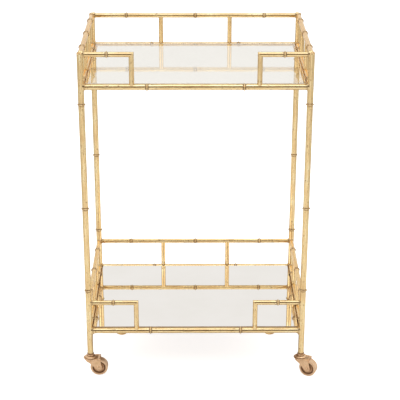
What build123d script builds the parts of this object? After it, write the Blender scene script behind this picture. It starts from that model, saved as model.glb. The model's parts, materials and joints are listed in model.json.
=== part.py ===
"""A two-tier bar cart: a welded frame of faux-bamboo tube with a clear glass shelf above, a mirror
shelf below, low galleries round both, and a swivel caster under each corner post.

The origin is on the floor at the middle of the cart. X runs to the right along the open front,
Y runs from the front to the back, and Z is up.
"""

import os

from build123d import *

# Frame, in millimetres. Heights are of tube centres above the floor.
post_spacing_x = 544.0
post_spacing_y = 384.0
lower_rail_height = 125.0
upper_rail_height = 775.0
gallery_rise = 79.5
post_diameter = 15.0
rail_diameter = 14.0
gallery_diameter = 12.0
upright_diameter = 11.5
tube_wall = 1.2

# Bamboo rings: half-round beads that stand proud of the tube by their own radius.
post_bead = 2.0
rail_bead = 2.0
gallery_bead = 1.75
post_ring_above_gallery = 35.5
post_ring_below_tray = 43.0
post_middle_ring_share = 0.455
front_ring_share = 0.212
side_ring_share = 0.355
corner_ring_share = 0.52

# Front corner loops of the galleries.
corner_loop_width = 120.5

# Post tops.
cap_height = 3.5
cap_rounding = 2.8
cap_plug_length = 8.0
cap_plug_wall = 1.5

# Shelves and what carries them.
glass_thickness = 5.0
mirror_thickness = 4.0
board_thickness = 3.0
pane_clearance = 0.5
pane_corner_radius = 4.0
ledge_width = 8.0
ledge_thickness = 1.5
ledge_end_gap = 1.0
shelf_below_rail_top = 0.8
bumper_diameter = 6.0
bumper_thickness = 1.0
support_bar_spacing = 380.0
support_bar_width = 28.0
support_bar_depth = 6.0
support_riser_width = 20.0

# Casters.
wheel_diameter = 45.0
wheel_width = 20.0
tyre_depth = 5.5
tyre_shoulder = 3.0
rim_depth = 2.0
rim_width = 18.0
web_thickness = 6.0
boss_diameter = 14.0
boss_clearance = 0.3
trail = 22.0
axle_diameter = 6.0
axle_head_diameter = 10.0
axle_head_height = 2.5
nut_across_flats = 10.0
nut_height = 4.0
running_clearance = 0.08
wheel_side_clearance = 1.0
wheel_top_clearance = 1.5
fork_sheet = 2.0
fork_head_diameter = 31.0
fork_front_reach = 13.0
fork_back_reach = 26.0
fork_cheek_height = 6.5
fork_end_radius = 8.0
fork_bend = 1.2
ball_diameter = 3.0
ball_circle_diameter = 19.0
ball_count = 12
ball_clearance = 0.3
swivel_cap_diameter = 29.2
swivel_cap_sheet = 1.5
swivel_cap_gap = 0.5
neck_diameter = 14.0
neck_height = 4.5
collar_diameter = 18.0
collar_height = 3.0
stem_diameter = 8.0
stem_length_in_post = 27.0
socket_length = 30.0
rivet_diameter = 12.0
rivet_height = 2.0
rivet_gap = 0.3

# Where each caster stands and which way it trails at rest, in degrees from +X.
caster_angles = {
    "front_left": -2.0,
    "front_right": -25.0,
    "rear_left": 155.0,
    "rear_right": 178.0,
}
corner_signs = {
    "front_left": (-1, -1),
    "front_right": (1, -1),
    "rear_left": (-1, 1),
    "rear_right": (1, 1),
}

# Sizes that follow from those above.
half_x = post_spacing_x / 2
half_y = post_spacing_y / 2
ring_diameter = rail_diameter + 2 * rail_bead
pane_x = post_spacing_x - ring_diameter - 2 * pane_clearance
pane_y = post_spacing_y - ring_diameter - 2 * pane_clearance
post_top = upper_rail_height + gallery_rise + gallery_diameter / 2 - cap_height

axle_height = wheel_diameter / 2
bridge_bottom = wheel_diameter + wheel_top_clearance
bridge_top = bridge_bottom + fork_sheet
swivel_cap_inside = bridge_top + ball_diameter + ball_clearance
swivel_cap_top = swivel_cap_inside + swivel_cap_sheet
collar_bottom = swivel_cap_top + neck_height
post_bottom = collar_bottom + collar_height
cheek_gap = wheel_width / 2 + wheel_side_clearance
cheek_outside = cheek_gap + fork_sheet

corners = {name: (sx * half_x, sy * half_y) for name, (sx, sy) in corner_signs.items()}
tiers = {"lower": lower_rail_height, "upper": upper_rail_height}

# How far a cutting rod runs past the tube it shapes.
overrun = 30.0


def tube_frame(start, end):
    """The plane through a tube's axis: X is the radius and Y runs along the tube."""
    along = (Vector(*end) - Vector(*start)).normalized()
    across = Vector(0, 0, 1) if abs(along.Z) < 0.5 else Vector(1, 0, 0)
    return Plane(origin=start, x_dir=across, z_dir=across.cross(along))


def bamboo_tube(start, end, diameter, bead=0.0, ring_places=()):
    """A hollow tube between two points, with a bead round it at each distance from its start."""
    frame = tube_frame(start, end)
    length = (Vector(*end) - Vector(*start)).length
    radius = diameter / 2
    with BuildPart() as tube:
        with BuildSketch(frame):
            Rectangle(radius, length, align=(Align.MIN, Align.MIN))
            if ring_places:
                with Locations(*[(radius, place) for place in ring_places]):
                    Circle(bead)
            Rectangle(radius - tube_wall, length, align=(Align.MIN, Align.MIN), mode=Mode.SUBTRACT)
        revolve(axis=Axis(start, frame.y_dir))
    return tube.part


def rod(start, end, diameter):
    """A solid round rod, used to shape one tube's end to the side of another."""
    length = (Vector(*end) - Vector(*start)).length
    with BuildPart() as piece:
        with BuildSketch(Plane(origin=start, z_dir=Vector(*end) - Vector(*start))):
            Circle(diameter / 2)
        extrude(amount=length)
    return piece.part


def post_rods(height):
    """The four posts as solid rods near one height."""
    return [
        rod((x, y, height - overrun), (x, y, height + overrun), post_diameter)
        for x, y in corners.values()
    ]


def coped(piece, rods):
    """The piece with its ends shaped to fit against the rods."""
    with BuildPart() as shaped:
        add(piece)
        for tool in rods:
            add(tool, mode=Mode.SUBTRACT)
    return shaped.part


def save(piece, name):
    """Label a finished piece and write it to its own file."""
    piece.label = name
    export_step(piece, f"parts/{name}.step")


def save_group(pieces, name):
    """Write separate solids that share one name to one file."""
    with BuildPart() as group:
        for piece in pieces:
            add(piece)
    save(group.part, name)


def make_posts():
    """Four corner posts, each with three rings, and a domed cap in each open top."""
    gallery_top = lower_rail_height + gallery_rise
    first_ring = gallery_top + post_ring_above_gallery
    last_ring = upper_rail_height - post_ring_below_tray
    middle_ring = first_ring + (last_ring - first_ring) * post_middle_ring_share
    ring_places = [height - post_bottom for height in (first_ring, middle_ring, last_ring)]
    for corner, (x, y) in corners.items():
        post = bamboo_tube((x, y, post_bottom), (x, y, post_top), post_diameter, post_bead, ring_places)
        save(post, f"{corner}_post")

    radius = post_diameter / 2
    plug_radius = radius - tube_wall
    caps = []
    for x, y in corners.values():
        with BuildPart() as cap:
            with BuildSketch(Plane(origin=(x, y, post_top), x_dir=(1, 0, 0), z_dir=(0, -1, 0))) as half:
                Rectangle(radius, cap_height, align=(Align.MIN, Align.MIN))
                fillet(half.vertices().group_by(Axis.X)[-1].sort_by(Axis.Y)[-1], cap_rounding)
                with Locations((plug_radius - cap_plug_wall, 0)):
                    Rectangle(cap_plug_wall, cap_plug_length, align=(Align.MIN, Align.MAX))
            revolve(axis=Axis((x, y, post_top), (0, 0, 1)))
        caps.append(cap.part)
    save_group(caps, "post_top_caps")


def make_tray_rails(tier, height):
    """The four rails round one shelf, fitted against the posts and against each other."""
    posts = post_rods(height)
    ring_offset = post_spacing_x * front_ring_share
    ring_places = (half_x - ring_offset, half_x + ring_offset)
    for side, y in (("front", -half_y), ("rear", half_y)):
        ends = (-half_x, y, height), (half_x, y, height)
        rail = bamboo_tube(*ends, rail_diameter, rail_bead, ring_places)
        save(coped(rail, posts), f"{tier}_{side}_rail")

    cross_rails = [
        rod((-half_x, y, height), (half_x, y, height), rail_diameter) for y in (-half_y, half_y)
    ]
    ring_offset = post_spacing_y * side_ring_share
    ring_places = (half_y - ring_offset, half_y + ring_offset)
    for side, x in (("left", -half_x), ("right", half_x)):
        ends = (x, -half_y, height), (x, half_y, height)
        rail = bamboo_tube(*ends, rail_diameter, rail_bead, ring_places)
        save(coped(rail, posts + cross_rails), f"{tier}_{side}_rail")


def make_gallery(tier, height):
    """The low guard round a shelf: a rail on the back and sides, and a loop at each front corner."""
    top = height + gallery_rise
    posts = post_rods(top)
    sixths_x = post_spacing_x / 6
    sixths_y = post_spacing_y / 6

    rear_ends = (-half_x, half_y, top), (half_x, half_y, top)
    rear = bamboo_tube(*rear_ends, gallery_diameter, gallery_bead, [n * sixths_x for n in (1, 3, 5)])
    save(coped(rear, posts), f"{tier}_gallery_rear_rail")

    loop_x = half_x - corner_loop_width
    corner_ring = [corner_loop_width * corner_ring_share]
    corner_uprights = []
    for side, sign in (("left", -1), ("right", 1)):
        past_corner = (sign * (loop_x - gallery_diameter), -half_y, top)
        above_corner = (sign * loop_x, -half_y, top + gallery_diameter)
        with BuildPart() as short_rail:
            add(bamboo_tube((sign * half_x, -half_y, top), past_corner,
                            gallery_diameter, gallery_bead, corner_ring))
            split(bisect_by=Plane(origin=(sign * loop_x, -half_y, top), z_dir=(sign, 0, 1)))
        save(coped(short_rail.part, posts), f"{tier}_gallery_front_{side}_rail")

        with BuildPart() as upright:
            add(bamboo_tube((sign * loop_x, -half_y, height), above_corner, gallery_diameter))
            split(bisect_by=Plane(origin=(sign * loop_x, -half_y, top), z_dir=(-sign, 0, -1)))
        front_rail = rod((-half_x, -half_y, height), (half_x, -half_y, height), rail_diameter)
        corner_uprights.append(coped(upright.part, [front_rail]))
    save_group(corner_uprights, f"{tier}_gallery_corner_uprights")

    front_rods = [rod((-half_x, -half_y, top), (half_x, -half_y, top), gallery_diameter)]
    rear_rods = [rod(*rear_ends, gallery_diameter)]
    for side, x in (("left", -half_x), ("right", half_x)):
        ends = (x, -half_y, top), (x, half_y, top)
        rail = bamboo_tube(*ends, gallery_diameter, gallery_bead, [n * sixths_y for n in (1, 3, 5)])
        save(coped(rail, posts + front_rods + rear_rods), f"{tier}_gallery_{side}_rail")

    feet = [(sign * sixths_x, half_y) for sign in (-1, 1)]
    feet += [(sx * half_x, sy * sixths_y) for sx in (-1, 1) for sy in (-1, 1)]
    uprights = []
    for x, y in feet:
        along = Vector(1, 0, 0) if y == half_y else Vector(0, 1, 0)
        foot = Vector(x, y, height)
        head = Vector(x, y, top)
        tools = [
            rod(foot - along * overrun, foot + along * overrun, rail_diameter),
            rod(head - along * overrun, head + along * overrun, gallery_diameter),
        ]
        uprights.append(coped(bamboo_tube(foot, head, upright_diameter), tools))
    save_group(uprights, f"{tier}_gallery_uprights")


def ledge_strips(height, top):
    """Four flat strips welded inside the rails at a height, which carry a pane along its edges."""
    inner_x = half_x - rail_diameter / 2 - ledge_width
    inner_y = half_y - rail_diameter / 2 - ledge_width
    long_end = half_x - post_diameter / 2 - ledge_end_gap
    short_end = inner_y - ledge_end_gap
    rails = []
    for sign in (-1, 1):
        rails.append(((-half_x, sign * half_y, height), (half_x, sign * half_y, height)))
        rails.append(((sign * half_x, -half_y, height), (sign * half_x, half_y, height)))
    tools = [rod(*ends, rail_diameter) for ends in rails]
    for sign in (-1, 1):
        for turn in (-1, 1):
            ring_x = turn * post_spacing_x * front_ring_share
            ring_y = turn * post_spacing_y * side_ring_share
            bead = Vector(rail_bead, 0, 0)
            tools.append(rod(Vector(ring_x, sign * half_y, height) - bead,
                             Vector(ring_x, sign * half_y, height) + bead, ring_diameter))
            bead = Vector(0, rail_bead, 0)
            tools.append(rod(Vector(sign * half_x, ring_y, height) - bead,
                             Vector(sign * half_x, ring_y, height) + bead, ring_diameter))
    strips = []
    for sign in (-1, 1):
        with BuildPart() as long_strip:
            with BuildSketch(Plane.XY.offset(top - ledge_thickness)):
                with Locations((0, sign * (inner_y + half_y) / 2)):
                    Rectangle(2 * long_end, half_y - inner_y)
            extrude(amount=ledge_thickness)
        strips.append(coped(long_strip.part, tools))
        with BuildPart() as short_strip:
            with BuildSketch(Plane.XY.offset(top - ledge_thickness)):
                with Locations((sign * (inner_x + half_x) / 2, 0)):
                    Rectangle(half_x - inner_x, 2 * short_end)
            extrude(amount=ledge_thickness)
        strips.append(coped(short_strip.part, tools))
    return strips


def pane(bottom, thickness):
    """A flat sheet that drops in between the rails, clear of their rings."""
    with BuildPart() as sheet:
        with BuildSketch(Plane.XY.offset(bottom)):
            RectangleRounded(pane_x, pane_y, pane_corner_radius)
        extrude(amount=thickness)
    return sheet.part


def make_shelves():
    """The glass shelf on its bumpers, and the mirror on its backing board and support bars."""
    rail_radius = rail_diameter / 2
    glass_bottom = upper_rail_height + rail_radius - shelf_below_rail_top - glass_thickness
    bumper_bottom = glass_bottom - bumper_thickness
    save_group(ledge_strips(upper_rail_height, bumper_bottom), "upper_ledge_strips")
    bumper_y = half_y - rail_radius - ledge_width / 2
    with BuildPart() as bumpers:
        with BuildSketch(Plane.XY.offset(bumper_bottom)):
            with GridLocations(half_x * 0.85, 2 * bumper_y, 3, 2):
                Circle(bumper_diameter / 2)
        extrude(amount=bumper_thickness)
    save(bumpers.part, "upper_glass_bumpers")
    save(pane(glass_bottom, glass_thickness), "upper_glass_shelf")

    mirror_bottom = lower_rail_height + rail_radius - shelf_below_rail_top - mirror_thickness
    board_bottom = mirror_bottom - board_thickness
    save_group(ledge_strips(lower_rail_height, board_bottom), "lower_ledge_strips")
    save(pane(board_bottom, board_thickness), "mirror_backing_board")
    save(pane(mirror_bottom, mirror_thickness), "lower_mirror_shelf")

    bar_top = lower_rail_height - rail_radius
    riser_length = 2 * (half_y - rail_radius - ledge_width - ledge_end_gap)
    bars = []
    for sign in (-1, 1):
        centre = (sign * support_bar_spacing / 2, -half_y, bar_top)
        with BuildPart() as bar:
            with BuildSketch(Plane(origin=centre, x_dir=(1, 0, 0), z_dir=(0, -1, 0))):
                with BuildLine():
                    flat = Line((-support_bar_width / 2, 0), (support_bar_width / 2, 0))
                    ThreePointArc(flat @ 1, (0, -support_bar_depth), flat @ 0)
                make_face()
            extrude(amount=-post_spacing_y)
            with BuildSketch(Plane.XY.offset(bar_top)):
                with Locations((centre[0], 0)):
                    Rectangle(support_riser_width, riser_length)
            extrude(amount=board_bottom - bar_top)
        bars.append(bar.part)
    save_group(bars, "mirror_support_bars")


def caster_level(corner, height, reach=0.0):
    """A level plane at one caster, its X axis along the trail and its origin that far along it."""
    x, y = corners[corner]
    trailing = Vector(1, 0, 0).rotate(Axis.Z, caster_angles[corner])
    return Plane(origin=Vector(x, y, height) + trailing * reach, x_dir=trailing, z_dir=(0, 0, 1))


def caster_side(corner, sideways):
    """An upright plane along a caster's trail, its Y axis up, that far to one side of the stem."""
    level = caster_level(corner, 0)
    return Plane(origin=level.origin + level.y_dir * sideways, x_dir=level.x_dir, z_dir=-level.y_dir)


def stem_profile_plane(corner):
    """The upright plane through a caster's stem, its X axis the radius and its Y axis the height."""
    return caster_side(corner, 0)


def stem_axis(corner):
    """The upright line that a caster swivels about."""
    return Axis(caster_level(corner, 0).origin, (0, 0, 1))


def make_fixed_caster_pieces():
    """Sockets pressed into the posts, and the stems and swivel caps that don't turn."""
    sockets, stems, swivel_caps = [], [], []
    socket_radius = post_diameter / 2 - tube_wall
    for corner in corners:
        with BuildPart() as socket:
            with BuildSketch(stem_profile_plane(corner)):
                with Locations((0, collar_bottom)):
                    Rectangle(collar_diameter / 2, collar_height, align=(Align.MIN, Align.MIN))
                with Locations((0, post_bottom)):
                    Rectangle(socket_radius, socket_length, align=(Align.MIN, Align.MIN))
                with Locations((0, collar_bottom)):
                    Rectangle(stem_diameter / 2, collar_height + socket_length,
                              align=(Align.MIN, Align.MIN), mode=Mode.SUBTRACT)
            revolve(axis=stem_axis(corner))
        sockets.append(socket.part)

        with BuildPart() as stem:
            with BuildSketch(stem_profile_plane(corner)):
                rivet_top = bridge_bottom - rivet_gap
                with Locations((0, rivet_top - rivet_height)):
                    Rectangle(rivet_diameter / 2, rivet_height, align=(Align.MIN, Align.MIN))
                with Locations((0, rivet_top)):
                    Rectangle(stem_diameter / 2, post_bottom + stem_length_in_post - rivet_top,
                              align=(Align.MIN, Align.MIN))
                with Locations((0, swivel_cap_top)):
                    Rectangle(neck_diameter / 2, neck_height, align=(Align.MIN, Align.MIN))
            revolve(axis=stem_axis(corner))
        stems.append(stem.part)

        outside = swivel_cap_diameter / 2
        inside = outside - swivel_cap_sheet
        rim = bridge_top + swivel_cap_gap
        with BuildPart() as swivel_cap:
            with BuildSketch(stem_profile_plane(corner)):
                with BuildLine():
                    lip = Polyline((stem_diameter / 2, swivel_cap_inside), (inside, swivel_cap_inside),
                                   (inside, rim), (outside, rim), (outside, rim + swivel_cap_sheet))
                    crown = ThreePointArc(
                        lip @ 1,
                        (outside * 0.82, swivel_cap_top - swivel_cap_sheet / 3),
                        (neck_diameter / 2, swivel_cap_top),
                    )
                    Polyline(crown @ 1, (stem_diameter / 2, swivel_cap_top), lip @ 0)
                make_face()
            revolve(axis=stem_axis(corner))
        swivel_caps.append(swivel_cap.part)
    save_group(sockets, "caster_sockets")
    save_group(stems, "caster_stems")
    save_group(swivel_caps, "caster_swivel_caps")


def make_fork(corner):
    """A pressed U-shaped fork: a bridge round the stem and two cheeks down to the axle."""
    cheek_length = fork_front_reach + fork_back_reach
    with BuildPart() as fork:
        with BuildSketch(caster_level(corner, bridge_bottom)):
            Circle(fork_head_diameter / 2)
            with Locations((fork_back_reach / 2, 0)):
                Rectangle(fork_back_reach, 2 * cheek_outside)
            with Locations((-fork_front_reach / 2, 0)):
                Rectangle(fork_front_reach, 2 * cheek_gap)
        extrude(amount=fork_sheet)
        for inner_face in (-cheek_outside, cheek_gap):
            with BuildSketch(caster_side(corner, inner_face + fork_sheet)):
                with Locations((-fork_front_reach, bridge_top - fork_cheek_height)):
                    Rectangle(cheek_length, fork_cheek_height, align=(Align.MIN, Align.MIN))
                with Locations((trail, axle_height)):
                    Circle(fork_end_radius)
                make_hull()
            extrude(amount=fork_sheet)
        trailing = Axis(caster_level(corner, 0).origin, caster_level(corner, 0).x_dir)
        top_face = fork.faces().sort_by(Axis.Z)[-1]
        fillet(top_face.edges().filter_by(trailing), fork_bend)
        with BuildSketch(caster_level(corner, bridge_bottom)):
            Circle(stem_diameter / 2 + running_clearance)
        extrude(amount=fork_sheet, mode=Mode.SUBTRACT)
        with BuildSketch(caster_side(corner, cheek_outside)):
            with Locations((trail, axle_height)):
                Circle(axle_diameter / 2)
        extrude(amount=2 * cheek_outside, mode=Mode.SUBTRACT)
    save(fork.part, f"{corner}_caster_fork")


def make_balls(corner):
    """The ring of balls that the fork turns on, under the swivel cap."""
    with BuildPart() as balls:
        with Locations(caster_level(corner, bridge_top + ball_diameter / 2)):
            with PolarLocations(ball_circle_diameter / 2, ball_count):
                Sphere(ball_diameter / 2)
    save(balls.part, f"{corner}_caster_balls")


def make_axle(corner):
    """The axle bolt through both cheeks, with a round head, and the nut on its far end."""
    with BuildPart() as bolt:
        with BuildSketch(caster_side(corner, cheek_outside)):
            with Locations((trail, axle_height)):
                Circle(axle_diameter / 2)
        extrude(amount=2 * cheek_outside + nut_height)
        with BuildSketch(caster_side(corner, cheek_outside)):
            with Locations((trail, axle_height)):
                Circle(axle_head_diameter / 2)
        extrude(amount=-axle_head_height)
        head_edge = bolt.edges().filter_by(GeomType.CIRCLE).sort_by(Axis(
            caster_level(corner, 0).origin, caster_level(corner, 0).y_dir))[-1]
        fillet(head_edge, axle_head_height * 0.6)
    with BuildPart() as nut:
        with BuildSketch(caster_side(corner, -cheek_outside)):
            with Locations((trail, axle_height)):
                RegularPolygon(nut_across_flats / 2, 6, major_radius=False)
                Circle(axle_diameter / 2, mode=Mode.SUBTRACT)
        extrude(amount=nut_height)
    save_group([bolt.part, nut.part], f"{corner}_caster_axle")


def make_wheel(corner):
    """A wheel: a hub with a boss, web and rim, and the tyre round it."""
    level = caster_level(corner, axle_height, trail)
    axle = Axis(level.origin, level.y_dir)
    rim_radius = wheel_diameter / 2 - tyre_depth
    boss_length = 2 * (cheek_gap - boss_clearance)
    bore = axle_diameter / 2 + running_clearance
    with BuildPart() as hub:
        with BuildSketch(level):
            Rectangle(boss_diameter / 2, boss_length, align=(Align.MIN, Align.CENTER))
            Rectangle(rim_radius, web_thickness, align=(Align.MIN, Align.CENTER))
            with Locations((rim_radius - rim_depth, 0)):
                Rectangle(rim_depth, rim_width, align=(Align.MIN, Align.CENTER))
            Rectangle(bore, boss_length, align=(Align.MIN, Align.CENTER), mode=Mode.SUBTRACT)
        revolve(axis=axle)
    save(hub.part, f"{corner}_caster_hub")
    with BuildPart() as tyre:
        with BuildSketch(level) as section:
            with Locations((rim_radius, 0)):
                Rectangle(tyre_depth, wheel_width, align=(Align.MIN, Align.CENTER))
            fillet(section.vertices().group_by(Axis.X)[-1], tyre_shoulder)
        revolve(axis=axle)
    save(tyre.part, f"{corner}_caster_tyre")


os.makedirs("parts", exist_ok=True)
make_posts()
for tier_name, rail_height in tiers.items():
    make_tray_rails(tier_name, rail_height)
    make_gallery(tier_name, rail_height)
make_shelves()
make_fixed_caster_pieces()
for corner_name in corners:
    make_fork(corner_name)
    make_balls(corner_name)
    make_axle(corner_name)
    make_wheel(corner_name)
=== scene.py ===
"""A gold faux-bamboo bar cart: detailed tubes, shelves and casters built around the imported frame."""

import json
import math

import bpy
import numpy as np
from mathutils import Matrix, Vector, noise


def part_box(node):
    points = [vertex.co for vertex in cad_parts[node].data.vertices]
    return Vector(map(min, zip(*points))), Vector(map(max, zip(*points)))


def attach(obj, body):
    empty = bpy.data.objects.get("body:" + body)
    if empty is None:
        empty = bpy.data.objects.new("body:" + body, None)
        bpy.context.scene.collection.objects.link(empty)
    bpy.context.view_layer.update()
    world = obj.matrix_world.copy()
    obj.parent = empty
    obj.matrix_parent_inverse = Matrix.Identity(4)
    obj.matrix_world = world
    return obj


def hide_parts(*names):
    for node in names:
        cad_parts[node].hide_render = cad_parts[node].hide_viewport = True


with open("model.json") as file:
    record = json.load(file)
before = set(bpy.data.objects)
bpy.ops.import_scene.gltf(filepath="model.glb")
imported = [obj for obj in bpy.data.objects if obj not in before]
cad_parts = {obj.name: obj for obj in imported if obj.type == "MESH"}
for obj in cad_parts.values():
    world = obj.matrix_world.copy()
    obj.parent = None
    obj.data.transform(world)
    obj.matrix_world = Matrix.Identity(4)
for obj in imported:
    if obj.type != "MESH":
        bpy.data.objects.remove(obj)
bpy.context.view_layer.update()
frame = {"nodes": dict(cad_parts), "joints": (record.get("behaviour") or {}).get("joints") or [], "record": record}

# Lengths are in metres.
MM = 0.001

CORNERS = ("front_left", "front_right", "rear_left", "rear_right")

# How far the rings stand out of each kind of tube, as in the CAD model, and the share of that height
# above which a point of the CAD model is on a ring's crest.
POST_BEAD = 2.0 * MM
RAIL_BEAD = 2.0 * MM
GALLERY_BEAD = 1.75 * MM
CREST_SHARE = 0.98

# Tube meshes: the vertices round a tube, and the spacing of its rows, closer near rings and ends.
TUBE_SIDES = 32
ROW_STEP = 4.0 * MM
RING_STEP = 0.55 * MM
END_STEP = 2 * RING_STEP
LEAST_STEP = 0.6 * RING_STEP
RING_REACH = 9.0 * MM
END_REACH = 12.0 * MM

# A ring's width, the swelling of the tube towards it, and the groove on each side of it.
RING_WIDTH = 1.35 * MM
RING_FLARE = 0.55 * MM
RING_FLARE_REACH = 5.0 * MM
GROOVE_DEPTH = 0.35 * MM
GROOVE_PLACE = 2.8 * MM
GROOVE_WIDTH = 1.35 * MM

# How far a tube wanders from a straight line, and the dents in its skin.
WAVE_HEIGHT = 0.2 * MM
WAVE_LENGTH = 110 * MM
DENT_HEIGHT = 0.10 * MM
DENT_LENGTH = 11 * MM

# Patina and painted shade before, on and after a ring, for tubes that run across, back and up.
RING_SHADE_AND_PATINA = ((1.0, 0.1, 1.0), (1.0, 1.0, 0.8), (0.4, 0.5, 1.0))

# How far a tube's end is sunk into the tube that it meets, and how long the stretch is that leans
# over to a mitre.
INTO_TUBE = 2.0 * MM
MITRE_REACH = 25 * MM

# The uprights of a guard rail are further apart than this.
UPRIGHT_GAP = 30 * MM

# Weld fillets where the rails meet the posts, how fast they thin out towards the tube's sides, and the
# patina with painted shade beside them.
LOWER_WEB = 9.0 * MM
SMALL_WEB = 2.5 * MM
UPPER_WEB = 1.5 * SMALL_WEB
WEB_THINNING = 1.3
WELD_SHADE_AND_PATINA = 0.5
WELD_SHADE_AND_PATINA_PLACE = 1.0 * MM
WELD_SHADE_AND_PATINA_WIDTH = 2.5 * MM

# Panes.
PANE_CORNER = 4 * MM
PANE_BEVEL = 0.5 * MM
PANE_CORNER_STEPS = 6

# A caster's pressed fork: the thickness of its sheet, then the middle surface of the sheet, measured
# from the stem and from the floor. The head round the stem narrows to the cheeks over HEAD_BLEND.
FORK_SHEET = 2.0 * MM
FORK_SIDE = 12.0 * MM
FORK_HEAD = 14.5 * MM
FORK_REAR = 25.0 * MM
FORK_LEVEL = 47.5 * MM
FORK_BEND = 3.0 * MM
FORK_HOLE = 5.2 * MM
HEAD_BLEND = 12.0 * MM

# The dish across the bridge behind the swivel cap, and the lip at the bridge's rear edge.
DISH_DEPTH = 0.7 * MM
DISH_PLACE = 18.5 * MM
DISH_WIDTH = 2.3 * MM
LIP_HEIGHT = 1.4 * MM
LIP_START = 21.0 * MM

# Painted shade on the bridge: a painted shadow round the swivel cap, and painted shade in the dish.
CAP_SHADOW = 0.8
CAP_SHADOW_PLACE = 15.0 * MM
CAP_SHADOW_WIDTH = 1.0 * MM
DISH_SHADE = 0.75
DISH_SHADE_PLACE = 18.3 * MM
DISH_SHADE_WIDTH = 1.9 * MM

# The fork's lower edge: the skirt's height beside the stem and in front, the way it rises between
# them, the edge's corner (reach, height) behind the stem, the share of a cheek's height over which it
# draws in from the head, and the lug round the axle.
SKIRT_SIDE = 35.5 * MM
SKIRT_FRONT = 43.3 * MM
SKIRT_RISE = 1.4
CHEEK_KNEE = (7.0 * MM, 28.3 * MM)
CHEEK_NARROWING = 0.6
LUG_RADIUS = 7.0 * MM
LUG_START = math.radians(225)
LUG_END = math.radians(365)

# Rows and columns of the fork's mesh.
BRIDGE_ROWS = 16
BEND_ROWS = 6
CHEEK_ROWS = 14
SIDE_COLUMNS = 25
HEAD_COLUMNS = 40
REAR_COLUMNS = 12

# Turned caster pieces. A further point on each side of a rounding, at FLAT_SHARE times its size, keeps
# the flats beside it flat.
LATHE_SIDES = 72
ROUNDING_STEPS = 4
FLAT_SHARE = 1.3

# Their profiles. Each corner is (radius, place along the axis, rounding, patina and painted shade), in
# millimetres. Along a stem the place is the height above the floor, and along an axle it is the distance
# from the middle of the wheel. The hub's other side mirrors this one.
# The last column darkens creases and the undersides of lips with painted shade, along with patina.
COLLAR = (
    (4.0, 57.8, 0, 0.6), (8.7, 57.8, 1.2, 0.5), (8.7, 60.8, 1.2, 0.1), (6.25, 60.8, 0, 0.6),
    (6.25, 90.8, 0, 0.0), (4.0, 90.8, 0, 0.0),
)
# The swivel cap's lower lip carries a painted shadow, and the crease at its neck carries painted shade.
SWIVEL_CAP = (
    (13.1, 49.0, 0, 1.0), (14.6, 49.0, 0.3, 0.9), (14.6, 50.6, 0.6, 0.15), (13.0, 52.2, 1.0, 0.0),
    (10.4, 53.2, 0.8, 0.0), (8.9, 53.6, 0.8, 0.85), (7.7, 55.4, 1.0, 0.1), (7.9, 57.75, 0.2, 0.5),
    (7.05, 57.75, 0, 0.5), (7.05, 53.3, 0, 0.5), (4.05, 53.3, 0, 0.5), (4.05, 51.8, 0, 0.5),
    (13.1, 51.8, 0, 0.8),
)
# The hub's groove and rim are darkened with painted shade.
HUB_SIDE = (
    (16.98, 8.8, 0.2, 0.8), (15.6, 8.8, 0.4, 0.6), (15.3, 5.2, 0.5, 0.9), (14.0, 5.2, 0.5, 0.9),
    (13.4, 8.2, 0.7, 0.0), (9.2, 7.2, 0.6, 0.1), (7.6, 7.6, 0.7, 0.8), (7.0, 10.7, 0.6, 0.1),
    (3.08, 10.7, 0, 0.5),
)
TYRE = (
    (17.0, -10.0, 0.5, 0.35), (18.0, -10.0, 0.3, 0.0), (22.5, -10.0, 2.9, 0.0),
    (22.5, 10.0, 2.9, 0.0), (18.0, 10.0, 0.3, 0.0), (17.0, 10.0, 0.5, 0.35),
)
SPINDLE = ((0.02, -13.2, 0, 0.0), (2.95, -13.2, 0, 0.0), (2.95, 13.2, 0, 0.0), (0.02, 13.2, 0, 0.0))

# The domed head at each end of the axle, measured from a cheek's outer face.
AXLE_HEAD = (
    (0.02, -0.5, 0, 0.0), (4.9, -0.5, 0, 0.7), (4.9, 0.6, 0.5, 0.3), (3.6, 1.9, 1.0, 0.0),
    (0.02, 2.3, 0, 0.0),
)
CHEEK_FACE = 13.0 * MM

# Light of the studio's walls, of the unlit gap between them in front, and at the gap's edge.
WALL_LIGHT = (0.92, 0.92, 0.92)
PENUMBRA_LIGHT = (0.52, 0.36, 0.26)
GAP_LIGHT = (0.02, 0.008, 0.005)

# Where the gap starts and ends, as the sine of the angle above the horizon, and its half width.
GAP_BOTTOM = (0.02, 0.12)
GAP_TOP = (0.63, 0.77)
GAP_SIDES = (0.35, 0.6)

WHITE = (1.0, 1.0, 1.0)

# The floor's half width, its brightness as the camera sees it, and how far from the middle its sides
# grow darker.
FLOOR_REACH = 9.0
FLOOR_GLOW = 0.76
FLOOR_SIDES = (0.85, 1.35)

# Lamps: name, place, width, watts and colour. They all point at one place.
LAMPS = (
    ("overhead_softbox", (0.0, -0.4, 3.2), 2.6, 29.0, (0.66, 0.80, 1.0)),
    ("left_softbox", (-2.6, -1.6, 1.9), 1.6, 12.0, WHITE),
    ("right_softbox", (2.7, -1.2, 1.7), 1.6, 9.0, WHITE),
)
LAMP_TARGET = (0.0, 0.0, 0.45)

# The camera's place, the degrees it is turned, tilted down and rolled, and its lens in millimetres.
CAMERA_PLACE = (-0.010, -2.983, 1.627)
CAMERA_TURN = 0.42
CAMERA_TILT = 22.23
CAMERA_ROLL = 0.09
CAMERA_LENS = 110.5


# ---------------------------------------------------------------- materials


def new_material(name):
    """A node material and its principled shader."""
    material = bpy.data.materials.new(name)
    material.use_nodes = True
    shader = next(n for n in material.node_tree.nodes if n.type == "BSDF_PRINCIPLED")
    return material, shader


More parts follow.
